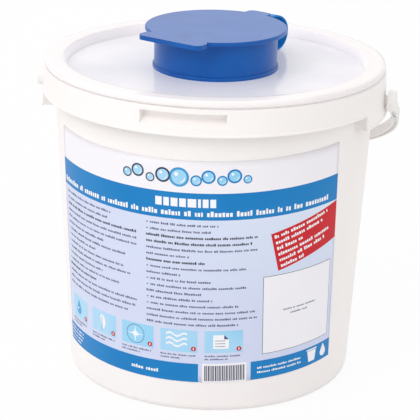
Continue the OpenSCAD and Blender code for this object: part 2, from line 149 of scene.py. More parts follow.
class PlasticSettings(bpy.types.PropertyGroup):
    """Colours and finish of the moulded parts"""

    pail: colour("Pail", "White of the pail and its band", screen(249, 245, 243))
    pail_shade: colour("Pail shade", "Tone of the pail's faint clouds", screen(246, 240, 238))
    handle: colour("Handle", "White of the carry handle", screen(244, 242, 240))
    lid: colour("Lid", "Milky natural plastic of the lid's rim", screen(249, 243, 243))
    # the panel's grey and its darker clouds are painted shade: the shaded inside of the pail
    # seen through the thin lid
    panel: colour("Panel", "Thinner, greyer middle of the lid", screen(220, 216, 221))
    panel_painted_shade: colour("Panel shade", "Darker clouds seen through it", screen(205, 203, 210))
    # painted glow of the thin panel, standing in for light coming through the lid
    through: share("Light through", "Light that comes up through the thin panel", 0.17)
    # painted glow on the pail's rim, standing in for light let down through the lid
    painted_rim_glow: share("Rim light", "Light that the lid lets down onto the pail's rim", 0.3)
    blue: colour("Blue", "Blue of the neck and cap", screen(12, 88, 172))
    blue_shade: colour("Blue shade", "Deeper flow lines in the blue", screen(8, 72, 154))
    strap: colour("Strap", "Brighter blue of the thin strap", screen(14, 132, 208))
    nozzle: colour("Nozzle", "Soft white of the star nozzle", screen(228, 229, 230))
    gloss: share("Pail roughness", "Roughness of the pail's skin", 0.42)
    lid_gloss: share("Lid roughness", "Roughness of the lid's skin", 0.13)
    blue_gloss: share("Blue roughness", "Roughness of the blue parts", 0.3)
    grain: length("Grain depth", "Depth of the fine moulded grain", 0.00002, 0, 0.001)


class LabelSettings(bpy.types.PropertyGroup):
    """Colours and layout of the printed label"""

    paper: colour("Paper", "Pale top field of the film", screen(243, 240, 245))
    field_low: colour("Field, lower", "Lavender of the lower text field", screen(209, 216, 240))
    field_high: colour("Field, upper", "Light blue next to the header", screen(219, 229, 246))
    header: colour("Header", "Blue of the header and footer bands", screen(14, 124, 192))
    header_light: colour("Header light", "Lighter end of that blue", screen(40, 138, 202))
    navy: colour("Dark ink", "Darkest ink", screen(28, 30, 50))
    text: colour("Text ink", "Ink of the greeked text lines", screen(96, 100, 132))
    red: colour("Red", "Red of the slanting panel and the dots", screen(203, 32, 42))
    sky: colour("Sky", "Light blue of the picture squares", screen(146, 210, 242))
    white: colour("White", "White ink", screen(246, 247, 250))
    lift: length("Ink lift", "Step between layers of ink", 0.00003, 0.00001, 0.0002)
    tilt: angle("Tilt", "How far the label is off level", 0.5)
    slice_l: length("Slice", "Longest piece along the curve", 0.003, 0.001, 0.01)
    seed: IntProperty(name="Seed", description="Seed of the word lengths", default=11)


class WipeSettings(bpy.types.PropertyGroup):
    """The roll of wipes and the one that is drawn up"""

    cloth: colour("Cloth", "White of the wet nonwoven", screen(240, 241, 240))
    layer: length("Layer pitch", "Distance between the turns that show", 0.0013, 0.0005, 0.004)
    pleats: IntProperty(
        name="Pleats", description="Folds round the gathered wipe", default=22, min=8, max=40
    )
    seed: IntProperty(name="Seed", description="Seed of the folds", default=5)


class StudioSettings(bpy.types.PropertyGroup):
    """Camera, floor and lamps"""

    lens: FloatProperty(
        name="Lens", description="Focal length on a 36 mm sensor", subtype="DISTANCE_CAMERA",
        default=169.1, min=10, max=500,
    )
    roll: angle("Roll", "Roll of the camera", 1.35)
    key: power("Key lamp", "Power of the key lamp", 17.5)
    fill: power("Fill lamp", "Power of the fill lamp", 4)
    back: power("Back lamp", "Power of the lamp behind the pail", 7.5)
    sky: FloatProperty(
        name="Surroundings", description="Strength of the even light all round",
        default=0.78, min=0, max=2,
    )


# ---------------------------------------------------------------- shader groups


def shader_group(name, inputs, outputs):
    """A new shader group: its node tree, what it is given, and what it gives out."""
    tree = bpy.data.node_groups.new(name, "ShaderNodeTree")
    for label, value in inputs.items():
        kind = "NodeSocketColor" if isinstance(value, tuple) else "NodeSocketFloat"
        socket = tree.interface.new_socket(name=label, in_out="INPUT", socket_type=kind)
        socket.default_value = value
    for label in outputs:
        kind = "NodeSocketColor" if label == "Colour" else "NodeSocketFloat"
        tree.interface.new_socket(name=label, in_out="OUTPUT", socket_type=kind)
    given, out = tree.nodes.new("NodeGroupInput"), tree.nodes.new("NodeGroupOutput")
    return tree, given.outputs, out.inputs


def wire(tree, kind, settings=None, **links):
    """Adds a node, sets its properties, and feeds inputs given by name or index."""
    node = tree.nodes.new(kind)
    for key, value in (settings or {}).items():
        setattr(node, key, value)
    for key, value in links.items():
        name = key.replace("_", " ")
        socket = node.inputs[int(key[1:])] if key[1:].isdigit() else node.inputs[name]
        if isinstance(value, bpy.types.NodeSocket):
            tree.links.new(value, socket)
        else:
            socket.default_value = value
    return node


def feed(tree, sockets, **links):
    """Links outputs to sockets given by name."""
    for key, value in links.items():
        tree.links.new(value, sockets[key.replace("_", " ")])


def maths(tree, operation, *values, **settings):
    """The result of a math node on two or three values."""
    links = {f"i{k}": value for k, value in enumerate(values)}
    return wire(tree, "ShaderNodeMath", {"operation": operation, **settings}, **links).outputs[0]


def ramp(tree, value, low, high, to_low=0.0, to_high=1.0):
    """A value taken from one range to another and held at the ends."""
    return wire(
        tree, "ShaderNodeMapRange", Value=value, From_Min=low, From_Max=high,
        To_Min=to_low, To_Max=to_high,
    ).outputs["Result"]


def mix(tree, factor, a, b, blend="MIX"):
    """A mix of two colours."""
    settings = {"data_type": "RGBA", "blend_type": blend}
    return wire(tree, "ShaderNodeMix", settings, Factor=factor, i6=a, i7=b).outputs[2]


def noise(tree, where, scale, detail, **more):
    """Noise at a place."""
    return wire(
        tree, "ShaderNodeTexNoise", Vector=where, Scale=scale, Detail=detail, **more
    ).outputs["Fac"]


def object_space(tree):
    """The place of a point on the object."""
    return wire(tree, "ShaderNodeTexCoord").outputs["Object"]


def axis_space(tree):
    """The place of a point, its three parts, and its distance from the upright axis."""
    where = object_space(tree)
    parts = wire(tree, "ShaderNodeSeparateXYZ", Vector=where).outputs
    flat = wire(tree, "ShaderNodeCombineXYZ", X=parts["X"], Y=parts["Y"])
    reach = wire(tree, "ShaderNodeVectorMath", {"operation": "LENGTH"}, i0=flat.outputs[0])
    return where, parts, reach.outputs["Value"]


def moulded_skin():
    """Soft clouds, fine grain and uneven gloss of an injection moulded part."""
    tree, given, out = shader_group(
        "Moulded Skin",
        {
            "Colour": (0.8, 0.8, 0.8, 1), "Shade": (0.7, 0.7, 0.7, 1), "Cloud Scale": 12.0,
            "Cloud Amount": 0.6, "Grain Scale": 1500.0, "Roughness": 0.4, "Gloss Spread": 0.08,
        },
        ("Colour", "Roughness", "Height"),
    )
    where = object_space(tree)
    clouds = noise(tree, where, given["Cloud Scale"], 3.0, Roughness=0.55, Distortion=0.6)
    spread = ramp(tree, clouds, 0.38, 0.66, to_high=given["Cloud Amount"])
    centred = maths(tree, "SUBTRACT", noise(tree, where, 38.0, 4.0), 0.5)
    feed(
        tree, out, Colour=mix(tree, spread, given["Colour"], given["Shade"]),
        Roughness=maths(
            tree, "MULTIPLY_ADD", centred, given["Gloss Spread"], given["Roughness"]
        ),
        Height=noise(tree, where, given["Grain Scale"], 2.0, Roughness=0.5),
    )
    return tree


def handling_scuffs():
    """A mask of fine stray scuffs, stretched the way that hands and shelves rub."""
    tree, given, out = shader_group(
        "Handling Scuffs", {"Scale": 60.0, "Stretch": 9.0, "Amount": 0.4}, ("Mask",)
    )
    where = object_space(tree)
    tall = wire(tree, "ShaderNodeCombineXYZ", X=1.0, Y=1.0, Z=given["Stretch"])
    drawn = wire(
        tree, "ShaderNodeVectorMath", {"operation": "MULTIPLY"}, i0=where, i1=tall.outputs[0]
    )
    lines = noise(tree, drawn.outputs[0], given["Scale"], 6.0, Roughness=0.75, Distortion=1.2)
    patches = ramp(tree, noise(tree, where, 14.0, 2.0), 0.48, 0.62)
    both = maths(tree, "MULTIPLY", ramp(tree, lines, 0.62, 0.72), patches)
    feed(tree, out, Mask=maths(tree, "MULTIPLY", both, given["Amount"]))
    return tree


def pressed_fibres():
    """Tangled fibres and pressed dimples of a nonwoven wipe."""
    tree, given, out = shader_group(
        "Pressed Fibres",
        {"Colour": (0.85, 0.85, 0.85, 1), "Fibre Scale": 900.0, "Dimple Scale": 420.0},
        ("Colour", "Height"),
    )
    where = object_space(tree)
    fibres = noise(tree, where, given["Fibre Scale"], 5.0, Roughness=0.8, Distortion=2.5)
    dimples = wire(
        tree, "ShaderNodeTexVoronoi", {"feature": "F1"}, Vector=where,
        Scale=given["Dimple Scale"], Randomness=0.35,
    )
    thin = ramp(tree, fibres, 0.35, 0.65, 0.9, 1.0)
    feed(
        tree, out, Colour=mix(tree, 1.0, given["Colour"], thin, "MULTIPLY"),
        Height=maths(tree, "MULTIPLY_ADD", dimples.outputs["Distance"], 0.9, fibres),
    )
    return tree


def printed_ink():
    """A slightly uneven layer of ink on film."""
    tree, given, out = shader_group(
        "Printed Ink",
        {
            "Ink": (0.1, 0.2, 0.5, 1), "Thin Ink": (0.2, 0.3, 0.6, 1),
            "Unevenness": 0.5, "Roughness": INK_ROUGH,
        },
        ("Colour", "Roughness", "Height"),
    )
    where = object_space(tree)
    wide = noise(tree, where, 22.0, 2.0)
    spread = ramp(tree, wide, 0.35, 0.65, to_high=given["Unevenness"])
    feed(
        tree, out, Colour=mix(tree, spread, given["Ink"], given["Thin Ink"]),
        Roughness=maths(tree, "MULTIPLY_ADD", wide, 0.06, given["Roughness"]),
        Height=noise(tree, where, 2600.0, 1.0),
    )
    return tree


GROUP_MAKERS = {
    "Moulded Skin": moulded_skin,
    "Handling Scuffs": handling_scuffs,
    "Pressed Fibres": pressed_fibres,
    "Printed Ink": printed_ink,
}


def placed_group(tree, name, **values):
    """A copy of a shared group in a material, with that material's own values."""
    group = bpy.data.node_groups.get(name) or GROUP_MAKERS[name]()
    node = tree.nodes.new("ShaderNodeGroup")
    node.node_tree = group
    for key, value in values.items():
        socket = node.inputs[key.replace("_", " ")]
        socket.default_value = (*value, 1) if hasattr(value, "__len__") else value
    return node


def shader_of(tree):
    """A material's Principled shader."""
    return next(n for n in tree.nodes if n.type == "BSDF_PRINCIPLED")


def fresh_material(name):
    """A new material, its node tree and its shader."""
    made = bpy.data.materials.new(name)
    made.use_nodes = True
    return made, made.node_tree, shader_of(made.node_tree)


def bumped(tree, shader, height, depth):
    """Feeds a height of a given depth in metres into the shader's normal."""
    bump = wire(tree, "ShaderNodeBump", Height=height, Distance=depth, Strength=1.0)
    feed(tree, shader.inputs, Normal=bump.outputs["Normal"])


def plastic(name, tone, shade, rough, grain, clouds=12.0, amount=0.6, scuff=0.25, **own):
    """A moulded plastic: the shared skin with scuffs that dull it, and its own gloss."""
    made, tree, shader = fresh_material(name)
    skin = placed_group(
        tree, "Moulded Skin", Colour=tone, Shade=shade, Cloud_Scale=clouds,
        Cloud_Amount=amount, Roughness=rough,
    ).outputs
    scuffs = placed_group(tree, "Handling Scuffs", Amount=scuff).outputs["Mask"]
    worn = (*[min(1.0, c * 0.9 + 0.06) for c in tone], 1)
    feed(
        tree, shader.inputs, Base_Color=mix(tree, scuffs, skin["Colour"], worn),
        Roughness=maths(tree, "ADD", skin["Roughness"], scuffs, use_clamp=True),
    )
    bumped(tree, shader, skin["Height"], grain)
    for key, value in own.items():
        shader.inputs[key.replace("_", " ")].default_value = value
    return made


def ink(name, tone, thin):
    """A printed colour."""
    made, tree, shader = fresh_material(name)
    film = placed_group(
        tree, "Printed Ink", Ink=tone, Thin_Ink=thin, Unevenness=0.35, Roughness=INK_ROUGH
    ).outputs
    feed(tree, shader.inputs, Base_Color=film["Colour"], Roughness=film["Roughness"])
    bumped(tree, shader, film["Height"], INK_GRAIN)
    shader.inputs["Specular IOR Level"].default_value = INK_SPECULAR
    return made


def finish_node(node, made):
    """Gives a frame node one material in place of the one it came with."""
    node = NODES[node]
    node.data.materials.clear()
    node.data.materials.append(made)


# ---------------------------------------------------------------- meshes


def add_mesh(name, verts, faces, made):
    """A smooth mesh object with one material."""
    mesh = bpy.data.meshes.new(name)
    mesh.from_pydata([tuple(v) for v in verts], [], faces)
    mesh.validate()
    mesh.materials.append(made)
    mesh.shade_smooth()
    thing = bpy.data.objects.new(name, mesh)
    bpy.context.scene.collection.objects.link(thing)
    return thing


def swept_grid(rings, closed_rings=True, closed_path=False):
    """Faces that join rings of equal length into a skin."""
    count, width, faces = len(rings), len(rings[0]), []
    for j in range(count if closed_path else count - 1):
        for i in range(width if closed_rings else width - 1):
            a, b = j * width, ((j + 1) % count) * width
            k = (i + 1) % width
            faces.append((a + i, a + k, b + k, b + i))
    return faces


class LabelSheet:
    """The label as a flat rectangle that wraps round the cone: across in mm from its middle,
    up in mm. Straight lines of the flat sheet rise a little at both ends, as on any cone."""

    def __init__(self, tilt):
        co = np.array([v.co for v in NODES["front_label"].data.vertices], float)
        reach = np.hypot(co[:, 0], co[:, 1])
        turn = np.arctan2(co[:, 0], -co[:, 1])
        self.low, self.high = co[:, 2].min(), co[:, 2].max()
        foot = reach[np.abs(co[:, 2] - self.low) < 1e-5]
        low_r, high_r = foot.max(), reach[np.abs(co[:, 2] - self.high) < 1e-5].max()
        self.inner = foot.min() - low_r
        self.middle = (turn.min() + turn.max()) / 2
        self.mid_r = (low_r + high_r) / 2
        self.half = (turn.max() - turn.min()) / 2 * self.mid_r / MM
        self.lean = math.atan((high_r - low_r) / (self.high - self.low))
        self.apex = self.mid_r / math.sin(self.lean)
        self.tilt = tilt

    def point(self, across, up, lift):
        """The place of a point of the sheet, standing off the face by lift."""
        c, s = math.cos(self.tilt), math.sin(self.tilt)
        x, y = across * MM, up * MM - (self.low + self.high) / 2
        x, y = x * c - y * s, x * s + y * c
        far = math.hypot(x, self.apex + y)
        turn = self.middle + math.atan2(x, self.apex + y) / math.sin(self.lean)
        r = far * math.sin(self.lean) + lift
        z = (self.low + self.high) / 2 + (far - self.apex) * math.cos(self.lean)
        return (r * math.sin(turn), -r * math.cos(turn), z)


class Printing:
    """Collects flat shapes of one ink and wraps them round the label."""

    def __init__(self, page, lift, slice_l):
        self.page, self.lift, self.slice_l = page, lift, slice_l / MM
        self.flat = bmesh.new()

    def shape(self, points, layer=1):
        """A polygon given by page points in order."""
        verts = [self.flat.verts.new((x, layer, z)) for x, z in points]
        self.flat.faces.new(verts)

    def bar(self, x, z, w, h, layer=1, turn=0.0, about=None):
        """An upright rectangle from its lower left corner, turned about a point."""
        corners = [(x, z), (x + w, z), (x + w, z + h), (x, z + h)]
        if turn:
            cx, cz = about or (x, z)
            c, s = math.cos(turn), math.sin(turn)
            corners = [
                (cx + (px - cx) * c - (pz - cz) * s, cz + (px - cx) * s + (pz - cz) * c)
                for px, pz in corners
            ]
        self.shape(corners, layer)

    def disc(self, x, z, r, layer=1, sides=20, tall=1.0):
        """A disc or an upright oval."""
        self.shape(
            [
                (x + r * math.cos(2 * math.pi * i / sides),
                 z + tall * r * math.sin(2 * math.pi * i / sides))
                for i in range(sides)
            ],
            layer,
        )

    def ring(self, x, z, r, thick, layer=1, start=0.0, span=2 * math.pi, steps=20):
        """A ring or an arc of even thickness."""
        for i in range(steps):
            a, b = start + span * i / steps, start + span * (i + 1) / steps
            self.shape(
                [
                    (x + q * math.cos(t), z + q * math.sin(t))
                    for q, t in ((r, a), (r, b), (r - thick, b), (r - thick, a))
                ][::-1],
                layer,
            )

    def words(self, rng, x, z, w, h, kind, layer=2, turn=0.0, about=None):
        """A line of greeked words: small blocks in word-like runs, filling a width."""
        letter, gap, space = kind
        at = x
        while at < x + w - letter:
            for _ in range(rng.randint(2, LONGEST_WORD)):
                step = letter * rng.uniform(0.7, 1.3)
                if at + step > x + w:
                    break
                tall = h * rng.choice((0.72, 0.72, 0.8, 1.0))
                self.bar(at, z, step, tall, layer, turn, about)
                at += step + gap
            at += space

    def wrap(self, name, made):
        """Slices the shapes across the curve, wraps them and makes the object."""
        half = self.page.half
        cut = -math.floor(half / self.slice_l) * self.slice_l
        while cut < half:
            bmesh.ops.bisect_plane(
                self.flat, geom=self.flat.verts[:] + self.flat.edges[:] + self.flat.faces[:],
                plane_co=(cut, 0, 0), plane_no=(1, 0, 0), dist=1e-5,
            )
            cut += self.slice_l
        bmesh.ops.triangulate(self.flat, faces=[f for f in self.flat.faces if len(f.verts) > 4])
        for v in self.flat.verts:
            v.co = self.page.point(v.co.x, v.co.z, v.co.y * self.lift)
        bmesh.ops.recalc_face_normals(self.flat, faces=self.flat.faces[:])
        for f in self.flat.faces:
            c = f.calc_center_median()
            if f.normal.x * c.x + f.normal.y * c.y < 0:
                f.normal_flip()
        mesh = bpy.data.meshes.new(name)
        self.flat.to_mesh(mesh)
        self.flat.free()
        mesh.materials.append(made)
        mesh.shade_smooth()
        thing = bpy.data.objects.new(name, mesh)
        bpy.context.scene.collection.objects.link(thing)
        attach(thing, "pail")
        return thing


# ---------------------------------------------------------------- pieces


class WIPESPAIL_OT_plastics(bpy.types.Operator):
    """Give the pail, handle, lid, neck, nozzle and cap their moulded plastics"""

    bl_idname = "wipespail.plastics"
    bl_label = "Moulded plastics"

    def execute(self, context):
        s = context.scene.wipespail_plastic
        finish_node("bucket", self.pail(s))
        finish_node("carry_handle", plastic(
            "handle_white", s.handle, s.pail_shade, s.gloss + 0.05, s.grain, clouds=26.0,
        ))
        finish_node("lid", self.lid(s))
        for node in ("dispenser_neck", "flip_cap"):
            finish_node(node, plastic(
                node + "_blue", s.blue, s.blue_shade, s.blue_gloss, s.grain, clouds=30.0,
                amount=0.8, scuff=0.16, Specular_IOR_Level=0.66,
                Specular_Tint=(0.36, 0.64, 1, 1),
            ))
        finish_node("star_nozzle", plastic(
            "nozzle_soft", s.nozzle, s.pail_shade, 0.5, s.grain, clouds=60.0,
        ))
        return {"FINISHED"}

    def pail(self, s):
        """White plastic, with a painted glow on the rim under the lid in place of the light that
        the milky lid lets down.
        """
        made = plastic(
            "pail_white", s.pail, s.pail_shade, s.gloss, s.grain, clouds=9.0, amount=0.7,
            Specular_IOR_Level=0.45,
        )
        tree = made.node_tree
        inputs = shader_of(tree).inputs
        _, parts, reach = axis_space(tree)
        # painted glow: emission on the pail's rim under the lid, in place of light through the
        # lid
        high = ramp(tree, parts["Z"], *RIM_GLOW_Z, to_high=s.painted_rim_glow)
        under = maths(tree, "LESS_THAN", reach, UNDER_LID_R)
        inputs["Emission Color"].default_value = (1, 1, 1, 1)
        feed(tree, inputs, Emission_Strength=maths(tree, "MULTIPLY", high, under))
        return made

    def lid(self, s):
        """Milky plastic: white in the rim; the thin panel is painted greyer and cloudy with the
        shade of the pail's inside seen through it, and given a painted glow for light coming
        through.
        """
        made = plastic(
            "lid_milky", s.lid, s.lid, s.lid_gloss, s.grain * 0.4, clouds=16.0, amount=0.0,
            scuff=0.05, Specular_IOR_Level=0.2,
        )
        tree = made.node_tree
        inputs = shader_of(tree).inputs
        tone = inputs["Base Color"].links[0].from_socket
        where, _, reach = axis_space(tree)
        # painted shade of the pail's inside, grey with darker clouds, fading out towards the rim
        see = ramp(tree, noise(tree, where, 14.0, 3.0), 0.42, 0.66)
        panel = mix(tree, see, (*s.panel, 1), (*s.panel_painted_shade, 1))
        middle = ramp(tree, reach, *PANEL_SHADE_FADE_R, 1.0, 0.0)
        # painted glow: emission in the thin panel in place of light through the lid
        lets = maths(tree, "LESS_THAN", reach, PANEL_GLOW_R)
        feed(
            tree, inputs, Base_Color=mix(tree, middle, tone, panel),
            Emission_Strength=maths(tree, "MULTIPLY", lets, s.through),
        )
        bump = inputs["Normal"].links[0].from_node
        soft = wire(tree, "ShaderNodeBevel", {"samples": 8}, Radius=0.003)
        feed(tree, bump.inputs, Normal=soft.outputs[0])
        return made


class WIPESPAIL_OT_strap(bpy.types.Operator):
    """Make the flexible strap that ties the cap to the neck"""

    bl_idname = "wipespail.strap"
    bl_label = "Cap strap"

    def execute(self, context):
        s = context.scene.wipespail_plastic
        blue = plastic(
            "strap_blue", s.strap, s.blue, s.blue_gloss + 0.1, s.grain, clouds=40.0,
            amount=0.4, scuff=0.12, Specular_IOR_Level=0.25,
        )
        along = Vector((math.sin(STRAP_TURN), -math.cos(STRAP_TURN), 0))
        side = Vector((-along.y, along.x, 0))
        path = self.path(STRAP_THICK / 2)
        section = []
        for cx, cy, start in ((1, 1, 0), (-1, 1, 90), (-1, -1, 180), (1, -1, 270)):
            for k in range(4):
                a = math.radians(start + 30 * k)
                section.append((
                    cx * (STRAP_HALF - STRAP_ROUND) + STRAP_ROUND * math.cos(a),
                    cy * (STRAP_THICK / 2 - STRAP_ROUND) + STRAP_ROUND * math.sin(a),
                ))
        verts = []
        for u, v, nu, nv in path:
            centre = along * u + Vector((0, 0, v))
            out = along * nu + Vector((0, 0, nv))
            verts += [centre + side * w + out * t for w, t in section]
        rings = [section] * len(path)
        faces = swept_grid(rings)
        n, m = len(section), len(path)
        faces += [tuple(range(n))[::-1], tuple(range((m - 1) * n, m * n))]
        strap = add_mesh("cap_strap", verts, faces, blue)
        sort_out(strap)
        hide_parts("hinge_strap")
        base = along * STRAP_BLEND_U
        start, end = ((base.x, base.y, z) for z in STRAP_BLEND_Z)
        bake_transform(strap)
        return {"FINISHED"}

    def path(self, skin):
        """Middle line and outward normal in the strap's plane, skin inside the outer face."""
        path = []
        for i in range(7):
            u = STRAP_START + (STRAP_UPPER_U - STRAP_START) * i / 6
            path.append((u, STRAP_TOP_Z - skin, 0.0, 1.0))
        wide, tall = STRAP_WIDE - skin, STRAP_TALL - skin
        for i in range(1, 33):
            a = math.radians(90 - 90 * i / 32)
            c, s = math.cos(a), math.sin(a)
            size = math.hypot(tall * c, wide * s)
            path.append((STRAP_UPPER_U + wide * c, STRAP_MID_Z + tall * s,
                         tall * c / size, wide * s / size))
        for i in range(1, 33):
            a, r = math.radians(-90 * i / 32), STRAP_LOWER_R - skin
            c, s = math.cos(a), math.sin(a)
            path.append((STRAP_LOWER_U + r * c, STRAP_MID_Z + r * s, c, s))
        for i in range(1, 21):
            u = STRAP_LOWER_U + (STRAP_END - STRAP_LOWER_U) * i / 20
            path.append((u, STRAP_LOW_Z + skin, 0.0, -1.0))
        return path


def sort_out(thing):
    """Turns all faces of a closed mesh outwards."""
    work = bmesh.new()
    work.from_mesh(thing.data)
    bmesh.ops.recalc_face_normals(work, faces=work.faces[:])
    work.to_mesh(thing.data)
    work.free()


class WIPESPAIL_OT_wipes(bpy.types.Operator):
    """Wind the roll of wipes and gather the one that is drawn through the nozzle"""

    bl_idname = "wipespail.wipes"
    bl_label = "Wipes"

    def cloth(self, name, tone, fibre, dimple):
        """Wet nonwoven, with fibres and dimples of a given fineness."""
        made, tree, shader = fresh_material(name)
        fibres = placed_group(
            tree, "Pressed Fibres", Colour=tone, Fibre_Scale=fibre, Dimple_Scale=dimple
        ).outputs
        feed(tree, shader.inputs, Base_Color=fibres["Colour"])
        bumped(tree, shader, fibres["Height"], CLOTH_GRAIN)
        shader.inputs["Roughness"].default_value = CLOTH_ROUGH
        shader.inputs["Sheen Weight"].default_value = CLOTH_SHEEN
        return made

    def execute(self, context):
        s = context.scene.wipespail_wipes
        self.roll(s)
        self.tail(s)
        return {"FINISHED"}

    def roll(self, s):
        """Turns of cloth seen on the ends, and the outer turn's loose edge."""
        rng = random.Random(s.seed)
        low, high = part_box("wipes_roll")
        outer, inner = high.x, CORE_R
        turns = int((outer - inner - 0.003) / s.layer)
        around = 120
        profile = [(inner, high.z - 0.003), (inner + 0.0008, high.z - 0.001)]
        for k in range(turns):
            r = inner + 0.0015 + k * s.layer
            profile += [(r, high.z), (r + s.layer * 0.55, high.z - 0.0009)]
        profile += [(outer - 0.0006, high.z - 0.001), (outer, high.z - 0.003)]
        profile += [(outer, high.z - 0.05), (outer, (low.z + high.z) / 2), (outer, low.z + 0.05)]
        profile += [(outer, low.z + 0.003), (outer - 0.001, low.z)]
        profile += [(inner + (outer - inner) * (0.9 - 0.2 * k), low.z) for k in range(4)]
        profile += [(inner + 0.001, low.z), (inner, low.z + 0.003)]
        drop = {}
        for k, (r, z) in enumerate(profile):
            drop[k] = rng.uniform(0, 0.0011) if z > high.z - 0.0012 else 0.0
        verts = []
        for i in range(around):
            a = 2 * math.pi * i / around
            for k, (r, z) in enumerate(profile):
                wave = 0.0004 * math.sin(3 * a + k * 0.7) + 0.0003 * math.sin(7 * a - k * 1.9)
                if z > high.z - 0.0012:
                    z -= drop[k] * (0.6 + 0.4 * math.sin(a + 0.3 * k)) + abs(wave)
                if r > outer - 0.0005:
                    r -= 0.0006 * (i / around) + 0.00015 * (1 + math.sin(11 * a + 40 * z))
                verts.append((r * math.cos(a), r * math.sin(a), z))
        rings = [profile] * around
        faces = swept_grid(rings, closed_path=True)
        roll = add_mesh("wound_wipes", verts, faces, self.cloth(
            "wipe_roll_cloth", s.cloth, 700.0, 300.0))
        sort_out(roll)
        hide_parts("wipes_roll")
        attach(roll, "pail")

    def tail(self, s):
        """One wipe, pleated so that its whole width passes through the star."""
        rng = random.Random(s.seed + 1)
        n = s.pleats
        steps = n * 8
        phase = [rng.uniform(-0.35, 0.35) for _ in range(n + 1)]
        deep = [rng.uniform(0.82, 1.0) for _ in range(n + 1)]
        stations = [
            (0.020, 6.2, 10.6), (0.050, 6.0, 10.5), (0.090, 5.6, 10.2), (0.130, 5.4, 10.0),
            (0.155, 5.0, 9.6), (0.175, 3.8, 8.3), (0.192, 2.6, 6.9), (0.204, 1.6, 5.9),
            (0.2110, 1.1, 5.35), (0.2162, 1.1, 5.35), (0.2186, 2.1, 6.6), (0.2206, 3.6, 8.2),
            (0.2222, 4.8, 8.7), (0.2236, 5.6, 8.0),
        ]
        fine = []
        for (za, ia, oa), (zb, ib, ob) in zip(stations, stations[1:]):
            parts = max(2, int((zb - za) / 0.004))
            for k in range(parts):
                t = k / parts
                fine.append((za + (zb - za) * t, ia + (ib - ia) * t, oa + (ob - oa) * t))
        fine.append(stations[-1])
        verts = []
        for j, (z, r_in, r_out) in enumerate(fine):
            twist = 1.4 * (z - 0.02) / 0.2
            for i in range(steps + 1):
                u = i / steps * n
                k = min(int(u), n - 1)
                wave = 0.5 - 0.5 * math.cos(2 * math.pi * (u - k))
                depth = deep[k] * (1 - (u - k)) + deep[k + 1] * (u - k)
                r = (r_in + (r_out - r_in) * wave * depth) * MM
                lean = 0.5 * math.sin(2 * math.pi * (u - k)) * 0.12
                a = 2 * math.pi * (u + lean + phase[k] * wave * 0.6) / n * 0.985 + twist
                dz = 0.0006 * math.sin(5 * a + j) * (1 if z > 0.2175 else 0)
                verts.append((r * math.cos(a), r * math.sin(a), min(z + dz, 0.2238)))
        rings = [range(steps + 1)] * len(fine)
        faces = swept_grid(rings, closed_rings=False)
        tail = add_mesh("drawn_wipe", verts, faces, self.cloth(
            "drawn_wipe_cloth", s.cloth, 1300.0, 800.0))
        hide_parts("wipe_tail")
        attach(tail, "lid")


